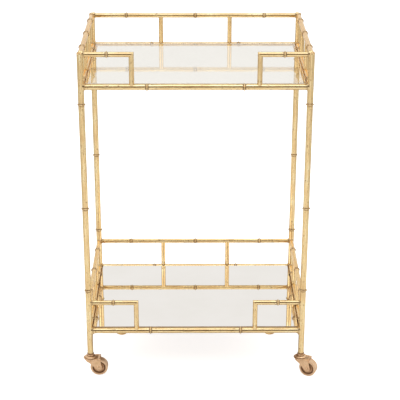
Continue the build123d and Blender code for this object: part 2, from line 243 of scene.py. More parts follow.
def node(material, kind, inputs=None, **settings):
    """Add a shader node to a material or world, set its fields, and link or set its inputs."""
    made = material.node_tree.nodes.new(kind)
    for key, value in settings.items():
        setattr(made, key, value)
    for key, value in (inputs or {}).items():
        if isinstance(value, bpy.types.NodeSocket):
            material.node_tree.links.new(value, made.inputs[key])
        else:
            made.inputs[key].default_value = value
    return made


def link(material, output, target):
    """Join one node's output to another's input."""
    material.node_tree.links.new(output, target)


def ramp(material, factor, stops):
    """A colour ramp through (place, colour) stops."""
    made = node(material, "ShaderNodeValToRGB", {"Fac": factor})
    elements = made.color_ramp.elements
    while len(elements) < len(stops):
        elements.new(0.5)
    for element, (place, colour) in zip(elements, stops):
        element.position = place
        element.color = (*colour, 1.0)
    return made.outputs["Color"]


def mix(material, factor, first, second):
    """Mix two colours by a factor."""
    made = node(material, "ShaderNodeMix", data_type="RGBA")
    for socket, value in ((made.inputs[0], factor), (made.inputs[6], first), (made.inputs[7], second)):
        if isinstance(value, bpy.types.NodeSocket):
            link(material, value, socket)
        elif isinstance(value, tuple):
            socket.default_value = (*value, 1.0)
        else:
            socket.default_value = value
    return made.outputs[2]


def stretch(material, coordinates, scale):
    """Coordinates multiplied along each axis."""
    return node(material, "ShaderNodeMapping", {"Vector": coordinates, "Scale": scale}).outputs["Vector"]


def noise_value(material, coordinates, scale, detail=4.0, roughness=0.6):
    """Fractal noise from 0 to 1."""
    made = node(material, "ShaderNodeTexNoise",
                {"Vector": coordinates, "Scale": scale, "Detail": detail, "Roughness": roughness})
    return made.outputs["Fac"]


def window(material, value, low, high, out_low=0.0, out_high=1.0):
    """A value mapped smoothly from one range to another and held there."""
    made = node(material, "ShaderNodeMapRange", {
        "Value": value, "From Min": low, "From Max": high, "To Min": out_low, "To Max": out_high,
    }, interpolation_type="SMOOTHSTEP")
    return made.outputs["Result"]


def arithmetic(material, operation, first, second):
    """One step of arithmetic on two values."""
    return node(material, "ShaderNodeMath", {0: first, 1: second}, operation=operation).outputs[0]


def product(material, first, second):
    """The product of two values."""
    return arithmetic(material, "MULTIPLY", first, second)


def magnitude(material, value):
    """A value without its sign."""
    return node(material, "ShaderNodeMath", {0: value}, operation="ABSOLUTE").outputs[0]


def bump(material, heights, distance, strength):
    """A bump normal from a height in units of the distance."""
    return node(material, "ShaderNodeBump",
                {"Height": heights, "Distance": distance, "Strength": strength}).outputs["Normal"]


def brushed(material, along, around_scale, along_scale, detail=4.0, roughness=0.6):
    """Noise on a tube, drawn out along it where the scale along it is the smaller one."""
    scaled = stretch(material, along, (around_scale, along_scale, 1.0))
    return noise_value(material, scaled, 1.0, detail, roughness)


def gold_leaf_material(name, grazing_tint):
    """Antique gold leaf on a tube: pale and deep gold drawn along it, and brown patina with painted shade in
    hollows.
    """
    material, shader = new_material(name)
    along = node(material, "ShaderNodeUVMap", uv_map="tube").outputs["UV"]
    place = node(material, "ShaderNodeTexCoord").outputs["Object"]
    shade_and_patina = node(material, "ShaderNodeAttribute", attribute_name="shade_and_patina").outputs["Fac"]

    patches = noise_value(material, place, 30.0, 2.0, 0.5)
    streaks = brushed(material, along, 330.0, 13.0, 3.0, 0.55)
    tone = arithmetic(material, "ADD", product(material, patches, 0.35), product(material, streaks, 0.65))
    leaf = ramp(material, tone, [
        (0.32, (0.66, 0.42, 0.175)),
        (0.43, (0.80, 0.55, 0.26)),
        (0.54, (0.88, 0.65, 0.32)),
        (0.68, (0.96, 0.81, 0.50)),
    ])

    # Small flecks and longer drag marks where the leaf is worn, and patina with painted shade in the hollows.
    flecks = brushed(material, along, 420.0, 110.0)
    flecked = product(material, window(material, flecks, 0.57, 0.66), window(material, patches, 0.42, 0.54))
    drags = brushed(material, along, 560.0, 26.0, 3.0)
    dragged = product(material, window(material, drags, 0.58, 0.70), window(material, patches, 0.34, 0.49))
    worn = arithmetic(material, "MAXIMUM", flecked, product(material, dragged, 0.7))
    # Painted shade in the creases, together with patina, turns the leaf brown there.
    hollow_shade_and_patina = product(material, shade_and_patina, window(material, flecks, 0.3, 0.5, 0.7, 1.0))
    wear_patina_and_shade = arithmetic(material, "MAXIMUM", product(material, worn, 0.85), hollow_shade_and_patina)
    brown = mix(material, window(material, streaks, 0.35, 0.6), (0.12, 0.05, 0.024), (0.24, 0.12, 0.062))
    link(material, mix(material, wear_patina_and_shade, leaf, brown), shader.inputs["Base Color"])

    gloss = window(material, noise_value(material, place, 90.0, 3.0), 0.3, 0.7, 0.08, 0.18)
    link(material, arithmetic(material, "ADD", gloss, product(material, wear_patina_and_shade, 0.25)),
         shader.inputs["Roughness"])
    link(material, window(material, wear_patina_and_shade, 0.0, 1.0, 0.9, 0.3), shader.inputs["Metallic"])
    wrinkles = brushed(material, along, 600.0, 150.0)
    link(material, bump(material, wrinkles, 0.3 * MM, 0.22), shader.inputs["Normal"])
    link(material, window(material, wear_patina_and_shade, 0.0, 0.8, 0.35, 0.0), shader.inputs["Coat Weight"])
    shader.inputs["Coat Roughness"].default_value = 0.1
    shader.inputs["Specular Tint"].default_value = (*grazing_tint, 1.0)
    return material


def plain_gold_material():
    """The same gold on flat strips and bars, without the streaks drawn along a tube."""
    material, shader = new_material("gold_paint")
    place = node(material, "ShaderNodeTexCoord").outputs["Object"]
    patches = noise_value(material, place, 60.0, 5.0)
    link(material, ramp(material, patches, [
        (0.34, (0.42, 0.24, 0.10)), (0.5, (0.72, 0.47, 0.21)), (0.66, (0.86, 0.62, 0.32)),
    ]), shader.inputs["Base Color"])
    link(material, window(material, patches, 0.3, 0.7, 0.5, 0.34), shader.inputs["Roughness"])
    link(material, bump(material, noise_value(material, place, 900.0, 3.0), 0.2 * MM, 0.3),
         shader.inputs["Normal"])
    shader.inputs["Metallic"].default_value = 0.75
    return material


def champagne_material(name, pale, deep, rough=0.3, metal=0.85):
    """Satin champagne-gold finish on the casters, faintly mottled, with brown patina and painted shade in the
    hollows.
    """
    material, shader = new_material(name)
    place = node(material, "ShaderNodeTexCoord").outputs["Object"]
    shade_and_patina = node(material, "ShaderNodeAttribute", attribute_name="shade_and_patina").outputs["Fac"]
    mottle = noise_value(material, place, 130.0, 3.0, 0.5)
    finish = ramp(material, mottle, [(0.36, deep), (0.60, pale)])
    specks = noise_value(material, place, 700.0, 2.0, 0.5)
    speckled = product(material, window(material, specks, 0.62, 0.70), 0.45)
    # The hollow weight is patina with painted shade; the specks are wear.
    wear_patina_and_shade = arithmetic(material, "MAXIMUM", shade_and_patina, speckled)
    link(material, mix(material, wear_patina_and_shade, finish, (0.20, 0.085, 0.03)), shader.inputs["Base Color"])
    gloss = window(material, mottle, 0.3, 0.7, rough + 0.04, rough - 0.04)
    link(material, arithmetic(material, "ADD", gloss, product(material, wear_patina_and_shade, 0.2)),
         shader.inputs["Roughness"])
    link(material, window(material, wear_patina_and_shade, 0.0, 1.0, metal, 0.3), shader.inputs["Metallic"])
    grain = noise_value(material, place, 1100.0, 2.0, 0.5)
    link(material, bump(material, grain, 0.08 * MM, 0.2), shader.inputs["Normal"])
    return material


def lets_light_through(material, shader, tint):
    """Let lamps shine through a glass shader, tinted, instead of casting a solid shadow."""
    clear = node(material, "ShaderNodeBsdfTransparent", {"Color": (*tint, 1.0)})
    shadow = node(material, "ShaderNodeLightPath").outputs["Is Shadow Ray"]
    chosen = node(material, "ShaderNodeMixShader",
                  {0: shadow, 1: shader.outputs[0], 2: clear.outputs[0]})
    output = next(n for n in material.node_tree.nodes if n.type == "OUTPUT_MATERIAL")
    link(material, chosen.outputs[0], output.inputs["Surface"])


def glass_material(tint):
    """Clear float glass; its faint waviness is a bump too long to see except in reflections."""
    material, shader = new_material("clear_glass")
    place = node(material, "ShaderNodeTexCoord").outputs["Object"]
    shader.inputs["Base Color"].default_value = (*tint, 1.0)
    shader.inputs["Transmission Weight"].default_value = 1.0
    shader.inputs["IOR"].default_value = 1.5
    shader.inputs["Roughness"].default_value = 0.0
    link(material, bump(material, noise_value(material, place, 5.0, 1.0), 1.0 * MM, 0.02),
         shader.inputs["Normal"])
    lets_light_through(material, shader, tint)
    return material


def ground_edge_material(name, colour):
    """The matt ground edge of a pane, painted in the colour that the gold tubes round it would reflect into it: a
    painted reflection.
    """
    material, shader = new_material(name)
    place = node(material, "ShaderNodeTexCoord").outputs["Object"]
    frost = noise_value(material, place, 500.0, 3.0)
    darker = tuple(0.88 * channel for channel in colour)
    link(material, ramp(material, frost, [(0.35, darker), (0.65, colour)]), shader.inputs["Base Color"])
    shader.inputs["Roughness"].default_value = 0.45
    return material


def mirror_material():
    """Silvered glass, very slightly warm and uneven."""
    material, shader = new_material("silvered_mirror")
    place = node(material, "ShaderNodeTexCoord").outputs["Object"]
    haze = noise_value(material, place, 9.0, 3.0)
    link(material, ramp(material, haze, [(0.35, (0.825, 0.795, 0.75)), (0.65, (0.845, 0.815, 0.775))]),
         shader.inputs["Base Color"])
    shader.inputs["Roughness"].default_value = 0.0
    shader.inputs["Metallic"].default_value = 1.0
    return material


def board_material():
    """Brown hardboard with a pressed, felted surface."""
    material, shader = new_material("hardboard")
    place = node(material, "ShaderNodeTexCoord").outputs["Object"]
    fibres = noise_value(material, stretch(material, place, (900.0, 300.0, 900.0)), 1.0, 6.0, 0.7)
    link(material, ramp(material, fibres, [(0.3, (0.13, 0.075, 0.04)), (0.7, (0.30, 0.19, 0.105))]),
         shader.inputs["Base Color"])
    link(material, bump(material, fibres, 0.3 * MM, 0.5), shader.inputs["Normal"])
    shader.inputs["Roughness"].default_value = 0.8
    return material


def vinyl_material():
    """Clear soft vinyl bumpers."""
    material, shader = new_material("clear_vinyl")
    place = node(material, "ShaderNodeTexCoord").outputs["Object"]
    clouds = noise_value(material, place, 300.0, 3.0)
    link(material, window(material, clouds, 0.3, 0.7, 0.2, 0.35), shader.inputs["Roughness"])
    shader.inputs["Base Color"].default_value = (0.9, 0.92, 0.9, 1.0)
    shader.inputs["Transmission Weight"].default_value = 0.8
    shader.inputs["IOR"].default_value = 1.45
    return material


def steel_material():
    """Polished bearing steel with a faint grain."""
    material, shader = new_material("bearing_steel")
    place = node(material, "ShaderNodeTexCoord").outputs["Object"]
    grain = noise_value(material, place, 800.0, 4.0)
    link(material, ramp(material, grain, [(0.3, (0.45, 0.45, 0.46)), (0.7, (0.68, 0.68, 0.69))]),
         shader.inputs["Base Color"])
    link(material, window(material, grain, 0.3, 0.7, 0.18, 0.3), shader.inputs["Roughness"])
    shader.inputs["Metallic"].default_value = 1.0
    return material


# Two copies of one gold leaf that differ only in the tint of their reflections at grazing angles: darker edges on
# tubes that run across and up, and a paler painted sheen on tubes that run back.
gold_leaf = gold_leaf_material("antique_gold_leaf", (0.50, 0.40, 0.20))
side_leaf_painted_sheen = gold_leaf_material("antique_gold_leaf_sides_painted_sheen", (1.0, 0.84, 0.70))
gold_paint = plain_gold_material()
clear_glass = glass_material((0.935, 0.895, 0.815))
# The glass edge's warm colour is a painted reflection of the gold tubes.
pane_rim_painted_reflection = ground_edge_material("ground_pane_rim_painted_reflection", (0.86, 0.80, 0.68))
# The mirror edge's brown is painted shade of the gap beside the rail, with a painted reflection of the gold.
mirror_rim_painted_shade = ground_edge_material("ground_mirror_rim_painted_shade", (0.62, 0.50, 0.38))
mirror_face = mirror_material()
hardboard = board_material()
vinyl = vinyl_material()
steel = steel_material()
caster_gold = champagne_material("champagne_gold", (0.82, 0.54, 0.315), (0.72, 0.455, 0.25))
collar_bronze = champagne_material("dark_bronze", (0.42, 0.26, 0.15), (0.26, 0.145, 0.075))
hub_brown = champagne_material("hub_brown", (0.55, 0.32, 0.17), (0.47, 0.255, 0.125), 0.36, 0.7)
tyre_gold = champagne_material("tyre_champagne", (0.80, 0.54, 0.325), (0.70, 0.455, 0.265), 0.32, 0.7)


# ---------------------------------------------------------------- meshes


def bell(distance, width):
    """1 at no distance, falling smoothly to nothing over about twice the width."""
    return math.exp(-((distance / width) ** 2))


def smooth_step(value, low, high):
    """0 below low, 1 above high, and a smooth rise between."""
    share = min(max((value - low) / (high - low), 0.0), 1.0)
    return share * share * (3 - 2 * share)


def new_piece(name, verts, faces, materials, body, replaced):
    """Make a mesh object that rides on a body and stands for some CAD nodes."""
    mesh = bpy.data.meshes.new(name)
    mesh.from_pydata([tuple(v) for v in verts], [], faces)
    mesh.update()
    piece = bpy.data.objects.new(name, mesh)
    bpy.context.scene.collection.objects.link(piece)
    for material in materials:
        mesh.materials.append(material)
    mesh.polygons.foreach_set("use_smooth", [True] * len(mesh.polygons))
    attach(piece, body)
    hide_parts(*replaced)
    return piece


def set_shade_and_patina(piece, weights):
    """Store each vertex's share of patina and painted shade, which the materials read."""
    layer = piece.data.attributes.new("shade_and_patina", "FLOAT", "POINT")
    layer.data.foreach_set("value", weights)


def node_points(name):
    """A CAD node's vertices as an array."""
    mesh = frame["nodes"][name].data
    points = np.empty(len(mesh.vertices) * 3, np.float32)
    mesh.vertices.foreach_get("co", points)
    return points.reshape(-1, 3).astype(float)


def split_uprights(points):
    """Split points into groups, one for each upright tube."""
    groups = []
    for point in points:
        for group in groups:
            if np.linalg.norm(group[0][:2] - point[:2]) < UPRIGHT_GAP:
                group.append(point)
                break
        else:
            groups.append([point])
    return [np.array(group) for group in groups]


def measure_tube(points, bead):
    """A straight tube's ends, radius and ring places, read from its CAD points."""
    low, high = points.min(0), points.max(0)
    axis = int(np.argmax(high - low))
    across = [i for i in range(3) if i != axis]
    centre = (low + high) / 2
    offsets = np.linalg.norm((points - centre)[:, across], axis=1)
    radius = offsets.max() - bead
    start, end = centre.copy(), centre.copy()
    start[axis], end[axis] = low[axis], high[axis]
    rings = []
    if bead:
        for along in sorted(points[offsets > radius + bead * CREST_SHARE][:, axis] - low[axis]):
            if not rings or along - rings[-1] > RING_REACH:
                rings.append(float(along))
    return Vector(start), Vector(end), float(radius), rings


def rows_along(length, rings):
    """Where a tube's rows of vertices lie: close together at rings and ends."""
    places = list(np.linspace(0, length, max(2, round(length / ROW_STEP) + 1)))
    for ring in rings:
        places += list(np.arange(ring - RING_REACH, ring + RING_REACH, RING_STEP))
    places += list(np.arange(0, END_REACH, END_STEP))
    places += list(np.arange(length - END_REACH, length, END_STEP))
    kept = [0.0]
    for place in sorted(p for p in places if 0 < p < length):
        if place - kept[-1] > LEAST_STEP:
            kept.append(float(place))
    if length - kept[-1] < LEAST_STEP:
        kept.pop()
    return kept + [float(length)]


def web_height(distance, size):
    """The height of a quarter-round weld fillet at a distance from the surface it climbs."""
    reach = min(max(size - distance, 0.0), size)
    return size - math.sqrt(max(size * size - reach * reach, 0.0))


def tube_centre(start, direction, length, along, side, up):
    """A place on a tube's slightly wandering middle line, which is straight at both ends."""
    fade = min(1.0, along / WAVE_LENGTH * 4, (length - along) / WAVE_LENGTH * 4)
    seed = Vector((start.x * 7.0, start.y * 11.0, start.z * 5.0)) + direction * (along / WAVE_LENGTH)
    sideways, upwards = noise.noise(seed), noise.noise(seed + Vector((9.1, 3.3, 0)))
    return start + direction * along + (side * sideways + up * upwards) * WAVE_HEIGHT * fade


def tube_geometry(start, end, radius, rings=(), bead=0.0, webs=(), mitre=None):
    """Vertices, faces, patina with painted shade, UVs and radius of one closed tube.

    webs lists (place, facing, height over, height under) for quarter-round fillets at a crossing
    surface. mitre is a plane normal that the far end is cut to.
    """
    direction = (end - start).normalized()
    length = (end - start).length
    up = Vector((0, 1, 0)) if abs(direction.z) > 0.9 else Vector((0, 0, 1))
    side = up.cross(direction).normalized()
    rows = rows_along(length, rings)
    before_ring, on_ring, after_ring = RING_SHADE_AND_PATINA[int(np.argmax([abs(c) for c in direction]))]
    verts, shade_and_patina, uvs = [], [], []
    for along in rows:
        centre = tube_centre(start, direction, length, along, side, up)
        ring_at = min(rings, key=lambda ring: abs(along - ring), default=-1.0)
        ring_gap = abs(along - ring_at)
        near_ring = bell(ring_gap, RING_WIDTH)
        groove = bell(ring_gap - GROOVE_PLACE, GROOVE_WIDTH)
        flare = RING_FLARE * math.exp(-ring_gap / RING_FLARE_REACH)
        row_radius = radius + bead * near_ring + flare * bool(rings) - GROOVE_DEPTH * groove
        # Rings, grooves and weld creases are darkened with patina and painted shade.
        row_tint = max(groove * (after_ring if along > ring_at else before_ring), near_ring * on_ring)
        for place, facing, _, _ in webs:
            distance = (along - place) * facing
            row_tint = max(row_tint, WELD_SHADE_AND_PATINA * bell(distance - WELD_SHADE_AND_PATINA_PLACE, WELD_SHADE_AND_PATINA_WIDTH))
        for step in range(TUBE_SIDES):
            angle = 2 * math.pi * step / TUBE_SIDES
            out = side * math.cos(angle) + up * math.sin(angle)
            dent = noise.noise((centre + out * radius) / DENT_LENGTH) * DENT_HEIGHT
            point = centre + out * (row_radius + dent)
            for place, facing, over, under in webs:
                distance = (along - place) * facing
                height = web_height(distance, over) if out.z > 0 else -web_height(distance, under)
                point += Vector((0, 0, height)) * abs(out.z) ** WEB_THINNING
            if mitre is not None:
                shift = (end - point).dot(mitre) / direction.dot(mitre)
                weight = max(0.0, (along - length + MITRE_REACH) / MITRE_REACH)
                point += direction * (shift - (length - along)) * weight ** 2
            verts.append(point)
            shade_and_patina.append(row_tint)
            uvs.append((angle * radius, along))
    faces = []
    for row in range(len(rows) - 1):
        for step in range(TUBE_SIDES):
            here = row * TUBE_SIDES + step
            beside = row * TUBE_SIDES + (step + 1) % TUBE_SIDES
            faces.append((here, beside, beside + TUBE_SIDES, here + TUBE_SIDES))
    faces.append(tuple(reversed(range(TUBE_SIDES))))
    last = (len(rows) - 1) * TUBE_SIDES
    faces.append(tuple(range(last, last + TUBE_SIDES)))
    return verts, faces, shade_and_patina, uvs, radius


def tube_piece(name, tubes, replaced, leaf=gold_leaf):
    """One gold piece of the frame made of one or more tubes, with UVs that run along each tube."""
    verts, faces, shade_and_patina, corners = [], [], [], []
    for tube_verts, tube_faces, tube_shade_and_patina, tube_uvs, radius in tubes:
        offset = len(verts)
        girth = 2 * math.pi * radius
        for face in tube_faces:
            faces.append(tuple(index + offset for index in face))
            around = [tube_uvs[index][0] for index in face]
            wraps = len(face) == 4 and max(around) - min(around) > girth / 2
            for index in face:
                u, v = tube_uvs[index]
                corners.append((u + girth if wraps and u < girth / 2 else u, v))
        verts += tube_verts
        shade_and_patina += tube_shade_and_patina
    piece = new_piece(name, verts, faces, [leaf], "frame", [replaced])
    layer = piece.data.uv_layers.new(name="tube")
    layer.data.foreach_set("uv", [value for corner in corners for value in corner])
    set_shade_and_patina(piece, shade_and_patina)


def make_posts():
    """Four corner posts with their rings."""
    for corner in CORNERS:
        name = f"{corner}_post"
        start, end, radius, rings = measure_tube(node_points(name), POST_BEAD)
        tube_piece(name + "_leafed", [tube_geometry(start, end, radius, rings, POST_BEAD)], name)


def middle(name):
    """The middle of a node's box in X, Y and Z."""
    low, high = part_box(name)
    return (low.x + high.x) / 2, (low.y + high.y) / 2, (low.z + high.z) / 2


POST_X, POST_Y, _ = middle("rear_right_post")
POST_RADIUS = measure_tube(node_points("front_left_post"), POST_BEAD)[2]


def between_posts(start, end):
    """A rail's ends moved out until they sit inside the posts they meet."""
    axis = 0 if abs((end - start).normalized().x) > 0.5 else 1
    post = (POST_X, POST_Y)[axis]
    moved = [start.copy(), end.copy()]
    for point in moved:
        if abs(abs(point[axis]) - post) < 4 * POST_RADIUS:
            point[axis] = math.copysign(post - INTO_TUBE, point[axis])
    return moved


def make_rail(name, bead, under_web, mitre_at=None, mitre=None):
    """One horizontal rail, welded to the posts at its ends, or to one post and cut at mitre_at."""
    start, end, radius, rings = measure_tube(node_points(name), bead)
    moved_start, moved_end = between_posts(start, end)
    if mitre_at is not None and (moved_start - mitre_at).length < (moved_end - mitre_at).length:
        moved_start, moved_end = moved_end, moved_start
        rings = [(end - start).length - ring for ring in rings]
        start, end = end, start
    shift = (moved_start - start).length
    rings = [ring + shift for ring in rings]
    if mitre_at is not None:
        moved_end = mitre_at
    run = moved_end - moved_start
    surface = POST_RADIUS - INTO_TUBE
    webs = [(surface, 1, SMALL_WEB, under_web)]
    if mitre is None:
        webs.append((run.length - surface, -1, SMALL_WEB, under_web))
    tube = tube_geometry(moved_start, moved_end, radius, rings, bead, webs=webs, mitre=mitre)
    # Rails that run back take the copy of the leaf with the painted paler sheen.
    tube_piece(name + "_leafed", [tube], name, side_leaf_painted_sheen if abs(run.y) > abs(run.x) else gold_leaf)


def make_tray_rails():
    """The heavier rails round both shelves."""
    for tier, under in (("lower", LOWER_WEB), ("upper", UPPER_WEB)):
        for side in ("front", "rear", "left", "right"):
            make_rail(f"{tier}_{side}_rail", RAIL_BEAD, under)


def make_front_loops(tier, tray_height):
    """The short front rails of a tier's guard rail, each mitred to an upright that turns down."""
    uprights = node_points(f"{tier}_gallery_corner_uprights")
    tubes = []
    for side, sign in (("left", -1), ("right", 1)):
        rail_name = f"{tier}_gallery_front_{side}_rail"
        low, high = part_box(rail_name)
        radius = (high.z - low.z) / 2 - GALLERY_BEAD
        _, rail_y, rail_height = middle(rail_name)
        mine = uprights[uprights[:, 0] * sign > 0]
        upright_x = (mine[:, 0].min() + mine[:, 0].max()) / 2
        corner = Vector((upright_x, rail_y, rail_height))
        cut = Vector((sign, 0, 1)).normalized()
        make_rail(rail_name, GALLERY_BEAD, SMALL_WEB, mitre_at=corner, mitre=cut)
        foot = Vector((upright_x, corner.y, tray_height + INTO_TUBE))
        tubes.append(tube_geometry(foot, corner, radius, mitre=cut))
    tube_piece(f"{tier}_corner_uprights_leafed", tubes, f"{tier}_gallery_corner_uprights")


def make_uprights(tier, tray_height):
    """The plain uprights under a tier's guard rail."""
    rail_height = middle(f"{tier}_gallery_rear_rail")[2]
    tubes = []
    for points in split_uprights(node_points(f"{tier}_gallery_uprights")):
        start, end, radius, _ = measure_tube(points, 0.0)
        start.z = tray_height + INTO_TUBE
        end.z = rail_height - INTO_TUBE
        tubes.append(tube_geometry(start, end, radius))
    tube_piece(f"{tier}_gallery_uprights_leafed", tubes, f"{tier}_gallery_uprights")


def make_galleries():
    """The guard rails of both tiers."""
    for tier in ("lower", "upper"):
        for side in ("rear", "left", "right"):
            make_rail(f"{tier}_gallery_{side}_rail", GALLERY_BEAD, SMALL_WEB)
        tray_height = middle(f"{tier}_front_rail")[2]
        make_front_loops(tier, tray_height)
        make_uprights(tier, tray_height)


def caster_frame(corner):
    """A caster's stem place at floor level, the way it trails, the way across it, and its axle."""
    joints = {joint["name"]: joint for joint in frame["joints"]}
    stem = Vector(joints[f"{corner}_swivel"]["pos_m"])
    axle = Vector(joints[f"{corner}_roll"]["pos_m"])
    trailing = Vector((axle.x - stem.x, axle.y - stem.y, 0)).normalized()
    return Vector((stem.x, stem.y, 0)), trailing, Vector((0, 0, 1)).cross(trailing), axle


def rounded_loop(corners):
    """A closed profile's points (radius, place, patina and painted shade) in metres, with its corners rounded."""
    points = [Vector((radius, along)) for radius, along, _, _ in corners]
    profile = []
    for index, (point, (_, _, rounding, shade_and_patina)) in enumerate(zip(points, corners)):
        towards = [(points[index - 1] - point).normalized(),
                   (points[(index + 1) % len(points)] - point).normalized()]
        if not rounding:
            profile.append((point.x * MM, point.y * MM, shade_and_patina))
            continue
        first, last = point + towards[0] * rounding, point + towards[1] * rounding
        profile.append((*(point + towards[0] * rounding * FLAT_SHARE) * MM, shade_and_patina))
        for step in range(ROUNDING_STEPS + 1):
            share = step / ROUNDING_STEPS
            place = first * (1 - share) ** 2 + point * 2 * share * (1 - share) + last * share ** 2
            profile.append((*place * MM, shade_and_patina))
        profile.append((*(point + towards[1] * rounding * FLAT_SHARE) * MM, shade_and_patina))
    return profile


def lathe(corners, centre, axis):
    """A ring-shaped solid: a profile turned about an axis."""
    profile = rounded_loop(corners)
    across = axis.orthogonal().normalized()
    other = axis.cross(across)
    verts, shade_and_patina, faces = [], [], []
    count = len(profile)
    for step in range(LATHE_SIDES):
        angle = 2 * math.pi * step / LATHE_SIDES
        out = across * math.cos(angle) + other * math.sin(angle)
        here = step * count
        after = (step + 1) % LATHE_SIDES * count
        for index, (radius, along, tint) in enumerate(profile):
            verts.append(centre + out * radius + axis * along)
            shade_and_patina.append(tint)
            following = (index + 1) % count
            faces.append((here + index, after + index, after + following, here + following))
    return verts, faces, shade_and_patina


def caster_piece(name, solids, material, body, replaced):
    """One caster piece made of one or more solids."""
    verts, faces, shade_and_patina = [], [], []
    for solid_verts, solid_faces, solid_shade_and_patina in solids:
        faces += [tuple(index + len(verts) for index in face) for face in solid_faces]
        verts += solid_verts
        shade_and_patina += solid_shade_and_patina
    set_shade_and_patina(new_piece(name, verts, faces, [material], body, [replaced]), shade_and_patina)


def thick_sheet(points, faces, shade_and_patina, thickness):
    """A closed sheet with round edges, made from its middle surface."""
    half = thickness / 2
    normals = [Vector() for _ in points]
    for face in faces:
        first, second, third, fourth = (points[index] for index in face)
        for index in face:
            normals[index] += (third - first).cross(fourth - second)
    sides = {(a, b) for face in faces for a, b in zip(face, face[1:] + face[:1])}
    border = {a: b for a, b in sides if (b, a) not in sides}
    before = {b: a for a, b in border.items()}
    verts = [point + normal.normalized() * half for point, normal in zip(points, normals)]
    verts += [point - normal.normalized() * half for point, normal in zip(points, normals)]
    tints = shade_and_patina + shade_and_patina
    count = len(points)
    closed = list(faces) + [tuple(index + count for index in reversed(face)) for face in faces]
    strips = {}
    for index in sorted(border):
        normal = normals[index].normalized()
        outward = (points[border[index]] - points[before[index]]).cross(normal).normalized()
        strips[index] = [index]
        for step in (1, 2, 3):
            turn = math.pi * step / 4
            strips[index].append(len(verts))
            verts.append(points[index] + (outward * math.sin(turn) + normal * math.cos(turn)) * half)
            tints.append(shade_and_patina[index])
        strips[index].append(index + count)
    for index in sorted(border):
        here, after = strips[index], strips[border[index]]
        for step in range(4):
            closed.append((after[step], here[step], here[step + 1], after[step + 1]))
    return verts, closed, tints


def cheek_edge(share, axle_reach, axle_height):
    """A point (reach, height) of a cheek's lower edge, from beside the stem round the lug."""
    start, knee = Vector((0.0, SKIRT_SIDE)), Vector(CHEEK_KNEE)
    centre = Vector((axle_reach, axle_height))
    touch = centre + Vector((math.cos(LUG_START), math.sin(LUG_START))) * LUG_RADIUS
    lengths = [(knee - start).length, (touch - knee).length, (LUG_END - LUG_START) * LUG_RADIUS]
    way = share * sum(lengths)
    if way < lengths[0]:
        return start.lerp(knee, way / lengths[0])
    if way < lengths[0] + lengths[1]:
        return knee.lerp(touch, (way - lengths[0]) / lengths[1])
    turn = LUG_START + (way - lengths[0] - lengths[1]) / LUG_RADIUS
    return centre + Vector((math.cos(turn), math.sin(turn))) * LUG_RADIUS


def fork_outline():
    """Points of a fork's outline seen from above, from one rear corner round the stem to the other."""
    outline = []
    for step in range(SIDE_COLUMNS + 1):
        reach = FORK_REAR * (1 - step / SIDE_COLUMNS)
        bulge = (FORK_HEAD - FORK_SIDE) * (1 - smooth_step(reach, 0.0, HEAD_BLEND))
        outline.append(Vector((reach, FORK_SIDE + bulge)))
    far_side = [Vector((point.x, -point.y)) for point in reversed(outline)]
    for step in range(1, HEAD_COLUMNS):
        angle = math.pi / 2 + math.pi * step / HEAD_COLUMNS
        outline.append(Vector((math.cos(angle), math.sin(angle))) * FORK_HEAD)
    return outline + far_side


def bridge_point(at):
    """The height and painted shade of a fork's bridge at a place (reach, sideways)."""
    open_share = 1 - min(abs(at.y) / (FORK_SIDE - FORK_BEND), 1.0) ** 4
    dish = -DISH_DEPTH * bell(at.x - DISH_PLACE, DISH_WIDTH)
    lip = LIP_HEIGHT * smooth_step(at.x, LIP_START, FORK_REAR)
    # A painted shadow round the swivel cap, and painted shade in the dish.
    shadow_under_cap = CAP_SHADOW * bell(at.length - CAP_SHADOW_PLACE, CAP_SHADOW_WIDTH)
    shade_in_dish = DISH_SHADE * bell(at.x - DISH_SHADE_PLACE, DISH_SHADE_WIDTH) * open_share
    return FORK_LEVEL + (dish + lip) * open_share, max(shadow_under_cap, shade_in_dish)


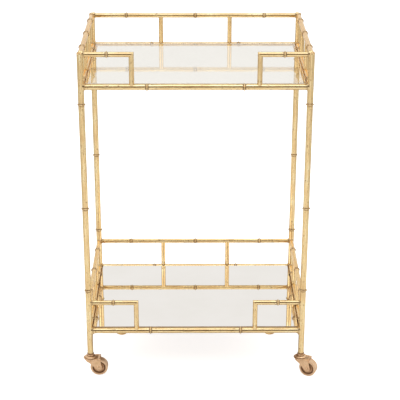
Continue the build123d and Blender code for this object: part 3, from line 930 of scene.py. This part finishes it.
def fork_solid(corner):
    """A pressed fork: a bridge dished behind the swivel cap, a skirt round its head, and two cheeks."""
    stem, trailing, across, axle = caster_frame(corner)
    axle_reach = (axle - stem).dot(trailing)
    outline = fork_outline()
    skirted = len(outline)
    half_rear = FORK_SIDE - FORK_BEND
    rear = [Vector((FORK_REAR, -half_rear + 2 * half_rear * step / REAR_COLUMNS))
            for step in range(1, REAR_COLUMNS)]
    points, shade_and_patina, columns = [], [], []

    def add(reach, sideways, height, tint=0.0):
        """Add a point to the last column."""
        points.append(stem + trailing * reach + across * sideways + Vector((0, 0, height)))
        shade_and_patina.append(tint)
        columns[-1].append(len(points) - 1)

    for index, place in enumerate(outline + rear):
        columns.append([])
        inset = place
        if index < skirted:
            ahead = outline[min(index + 1, skirted - 1)] - outline[max(index - 1, 0)]
            outward = Vector((ahead.y, -ahead.x)).normalized() * -1
            inset = place - outward * FORK_BEND
        hole = inset.normalized() * FORK_HOLE
        for row in range(BRIDGE_ROWS + 1):
            at = hole.lerp(inset, row / BRIDGE_ROWS)
            add(at.x, at.y, *bridge_point(at))
        if index >= skirted:
            continue
        for row in range(1, BEND_ROWS + 1):
            turn = math.pi / 2 * row / BEND_ROWS
            at = inset + outward * FORK_BEND * math.sin(turn)
            add(at.x, at.y, FORK_LEVEL - FORK_BEND * (1 - math.cos(turn)))
        if place.x > 0:
            foot = cheek_edge(place.x / FORK_REAR, axle_reach, axle.z)
        else:
            share = (1 + place.x / FORK_HEAD) ** SKIRT_RISE
            foot = Vector((place.x, SKIRT_FRONT + (SKIRT_SIDE - SKIRT_FRONT) * share))
        foot_side = min(max(place.y, -FORK_SIDE), FORK_SIDE)
        top = FORK_LEVEL - FORK_BEND
        for row in range(1, CHEEK_ROWS + 1):
            share = row / CHEEK_ROWS
            sideways = place.y + (foot_side - place.y) * smooth_step(share, 0.0, CHEEK_NARROWING)
            add(place.x + (foot.x - place.x) * share, sideways, top + (foot.y - top) * share)
    faces = []
    for index, here in enumerate(columns):
        after = columns[(index + 1) % len(columns)]
        rows = len(here) - 1 if index + 1 < skirted else BRIDGE_ROWS
        for row in range(rows):
            faces.append((here[row], here[row + 1], after[row + 1], after[row]))
    return thick_sheet(points, faces, shade_and_patina, FORK_SHEET)


def make_casters():
    """Collars and swivel caps on the posts, and each caster's fork, axle, hub and tyre."""
    up = Vector((0, 0, 1))
    stems = [caster_frame(corner)[0] for corner in CORNERS]
    caster_piece("caster_collars_turned", [lathe(COLLAR, stem, up) for stem in stems],
                 collar_bronze, "frame", "caster_sockets")
    caster_piece("caster_swivel_caps_turned", [lathe(SWIVEL_CAP, stem, up) for stem in stems],
                 caster_gold, "frame", "caster_swivel_caps")
    hub = [(radius, -along, rounding, tint) for radius, along, rounding, tint in reversed(HUB_SIDE)]
    hub += HUB_SIDE
    for corner in CORNERS:
        _, _, across, axle = caster_frame(corner)
        fork, wheel = f"{corner}_fork", f"{corner}_wheel"
        caster_piece(f"{corner}_fork_pressed", [fork_solid(corner)], caster_gold,
                     fork, f"{corner}_caster_fork")
        heads = [lathe(AXLE_HEAD, axle + across * (CHEEK_FACE * way), across * way) for way in (1, -1)]
        caster_piece(f"{corner}_axle_turned", [lathe(SPINDLE, axle, across)] + heads, caster_gold,
                     fork, f"{corner}_caster_axle")
        caster_piece(f"{corner}_hub_turned", [lathe(hub, axle, across)], hub_brown,
                     wheel, f"{corner}_caster_hub")
        caster_piece(f"{corner}_tyre_moulded", [lathe(TYRE, axle, across)], tyre_gold,
                     wheel, f"{corner}_caster_tyre")


def make_pane(name, face_material, edge_material):
    """A flat pane with rounded corners and a ground bevel round both faces."""
    low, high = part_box(name)
    outline = []
    for turn in range(4):
        centre_x = (high.x - PANE_CORNER) * (1 if turn in (0, 3) else -1)
        centre_y = (high.y - PANE_CORNER) * (1 if turn in (0, 1) else -1)
        for step in range(PANE_CORNER_STEPS + 1):
            angle = math.pi / 2 * (turn + step / PANE_CORNER_STEPS)
            outline.append((centre_x, centre_y, math.cos(angle), math.sin(angle)))
    levels = [(low.z, PANE_CORNER - PANE_BEVEL), (low.z + PANE_BEVEL, PANE_CORNER),
              (high.z - PANE_BEVEL, PANE_CORNER), (high.z, PANE_CORNER - PANE_BEVEL)]
    verts = [(x + reach * cosine, y + reach * sine, z)
             for z, reach in levels for x, y, cosine, sine in outline]
    count = len(outline)
    faces = [tuple(reversed(range(count))), tuple(range(3 * count, 4 * count))]
    for level in range(3):
        for index in range(count):
            here, after = level * count + index, level * count + (index + 1) % count
            faces.append((here, after, after + count, here + count))
    piece = new_piece(name + "_pane", verts, faces, [face_material, edge_material],
                      "frame", [name])
    piece.data.polygons.foreach_set("material_index", [0, 0] + [1] * (3 * count))
    piece.data.polygons.foreach_set("use_smooth", [False] * len(faces))


def paint_nodes():
    """Give every CAD node that still shows its own material."""
    paints = {
        "gold_leaf": gold_paint,
        "clear_bumper": vinyl,
        "backing_board": hardboard,
        "caster_metal": caster_gold,
        "bearing_steel": steel,
    }
    slots = {part["node"]: part["material_slot"] for part in frame["record"]["subparts"]}
    for name, obj in frame["nodes"].items():
        if slots[name] in paints:
            for holder in obj.material_slots:
                holder.material = paints[slots[name]]


# ---------------------------------------------------------------- studio


def make_floor():
    """A plain pale floor that glows for the camera, with darker sides for the gold to reflect."""
    far = FLOOR_REACH
    mesh = bpy.data.meshes.new("floor")
    mesh.from_pydata([(-far, -far, 0), (far, -far, 0), (far, far, 0), (-far, far, 0)], [], [(0, 1, 2, 3)])
    floor = bpy.data.objects.new("floor", mesh)
    bpy.context.scene.collection.objects.link(floor)
    material, shader = new_material("pale_floor")
    place = node(material, "ShaderNodeTexCoord").outputs["Object"]
    clouds = noise_value(material, place, 3.0, 4.0)
    pale = ramp(material, clouds, [(0.3, (0.80, 0.80, 0.80)), (0.7, (0.83, 0.83, 0.83))])
    sideways = node(material, "ShaderNodeSeparateXYZ", {"Vector": place}).outputs["X"]
    aside = window(material, magnitude(material, sideways), *FLOOR_SIDES)
    link(material, mix(material, aside, pale, (0.62, 0.62, 0.62)), shader.inputs["Base Color"])
    shader.inputs["Roughness"].default_value = 0.9
    shader.inputs["Specular IOR Level"].default_value = 0.0
    shader.inputs["Emission Color"].default_value = (*WHITE, 1.0)
    seen = node(material, "ShaderNodeLightPath").outputs["Is Camera Ray"]
    link(material, window(material, seen, 0.0, 1.0, 0.02, FLOOR_GLOW), shader.inputs["Emission Strength"])
    mesh.materials.append(material)


def make_world():
    """A white studio with an unlit gap in front, which gives metal its dark lines."""
    world = bpy.data.worlds.new("studio")
    bpy.context.scene.world = world
    world.use_nodes = True
    studio = world.node_tree.nodes["Background"]
    direction = node(world, "ShaderNodeTexCoord").outputs["Generated"]
    towards = node(world, "ShaderNodeSeparateXYZ", {"Vector": direction}).outputs
    rising = window(world, towards["Z"], *GAP_BOTTOM)
    falling = window(world, towards["Z"], *GAP_TOP, 1.0, 0.0)
    in_front = window(world, towards["Y"], -0.3, 0.0, 1.0, 0.0)
    narrow = window(world, magnitude(world, towards["X"]), *GAP_SIDES, 1.0, 0.0)
    unlit = product(world, product(world, rising, falling), product(world, in_front, narrow))
    shades = ramp(world, unlit, [(0.0, WALL_LIGHT), (0.4, PENUMBRA_LIGHT), (1.0, GAP_LIGHT)])
    link(world, shades, studio.inputs["Color"])

    # Plain white for the camera, through glass, in the mirror, and for light bounced more than twice.
    white = node(world, "ShaderNodeBackground", {"Color": (*WHITE, 1.0)})
    path = node(world, "ShaderNodeLightPath").outputs
    bounced = window(world, path["Ray Depth"], 2.4, 2.6)
    seen = arithmetic(world, "MAXIMUM", path["Is Camera Ray"], path["Is Singular Ray"])
    chosen = node(world, "ShaderNodeMixShader", {
        0: arithmetic(world, "MAXIMUM", bounced, seen), 1: studio.outputs[0], 2: white.outputs[0],
    })
    link(world, chosen.outputs[0], world.node_tree.nodes["World Output"].inputs["Surface"])


def make_lights():
    """Large soft boxes above and to each side."""
    for name, place, size, power, colour in LAMPS:
        data = bpy.data.lights.new(name, "AREA")
        data.shape = "SQUARE"
        data.size = size
        data.energy = power
        data.color = colour
        lamp = bpy.data.objects.new(name, data)
        lamp.location = place
        lamp.rotation_euler = (Vector(LAMP_TARGET) - Vector(place)).to_track_quat("-Z", "Y").to_euler()
        bpy.context.scene.collection.objects.link(lamp)


def make_camera():
    """A long lens in front of the cart, well above its top, looking down at it."""
    data = bpy.data.cameras.new("camera")
    camera = bpy.data.objects.new("camera", data)
    bpy.context.scene.collection.objects.link(camera)
    bpy.context.scene.camera = camera
    data.lens = CAMERA_LENS
    data.sensor_width = 36.0
    data.clip_end = 50.0
    turn, tilt, roll = (math.radians(angle) for angle in (CAMERA_TURN, CAMERA_TILT, CAMERA_ROLL))
    forward = Vector((math.sin(turn) * math.cos(tilt), math.cos(turn) * math.cos(tilt), -math.sin(tilt)))
    aim = forward.to_track_quat("-Z", "Y").to_matrix() @ Matrix.Rotation(roll, 3, "Z")
    camera.matrix_world = Matrix.Translation(CAMERA_PLACE) @ aim.to_4x4()


make_posts()
make_tray_rails()
make_galleries()
make_casters()
make_pane("upper_glass_shelf", clear_glass, pane_rim_painted_reflection)
make_pane("lower_mirror_shelf", mirror_face, mirror_rim_painted_shade)
paint_nodes()
make_floor()
make_world()
make_lights()
make_camera()
bpy.context.scene.view_settings.view_transform = "Standard"
